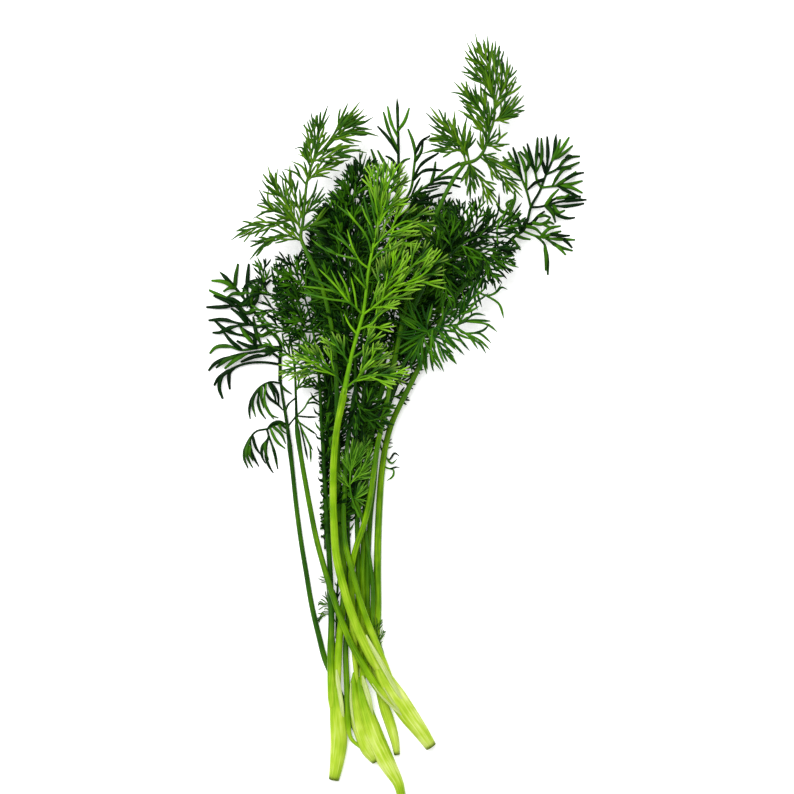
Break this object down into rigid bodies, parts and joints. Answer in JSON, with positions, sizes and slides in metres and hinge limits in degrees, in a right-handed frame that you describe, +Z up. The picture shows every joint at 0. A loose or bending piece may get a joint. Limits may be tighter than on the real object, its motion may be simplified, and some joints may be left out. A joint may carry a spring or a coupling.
{
  "type": "dill bunch",
  "caption": "Loose bunch of young dill lying flat: pale sheathed crowns, slender leaf stalks and finely cut, thread-leaved green fronds.",
  "frame": {"origin": "centre of the bounding box on the surface that the bunch lies on", "axes": "+Z up from the surface, +Y along the bunch from the cut crowns to the leaf tips, +X to the right as seen from above"},
  "size_m": [0.1551, 0.3063, 0.0381],
  "materials": {
    "stalk": "satin pale green, smooth and moist",
    "leaf_bright": "satin yellow-green leaf",
    "leaf_mid": "satin mid green leaf",
    "leaf_dark": "satin dark green leaf"
  },
  "bodies": {
    "root": {"crown_front": "stalk", "crown_left": "stalk", "crown_long": "stalk", "crown_small": "stalk", "frond_front": "leaf_bright", "frond_left_plume": "leaf_mid", "frond_top_right": "leaf_mid", "frond_right_fan": "leaf_dark", "frond_far_left": "leaf_dark", "frond_left_mid": "leaf_dark", "frond_left_inner": "leaf_dark", "frond_left_centre": "leaf_dark", "frond_right_centre": "leaf_dark", "frond_right_lower": "leaf_dark", "frond_centre_top": "leaf_dark", "frond_low_centre": "leaf_dark", "frond_small": "leaf_mid", "frond_left_sprig": "leaf_mid", "frond_right_sprig": "leaf_mid"}
  },
  "joints": []
}
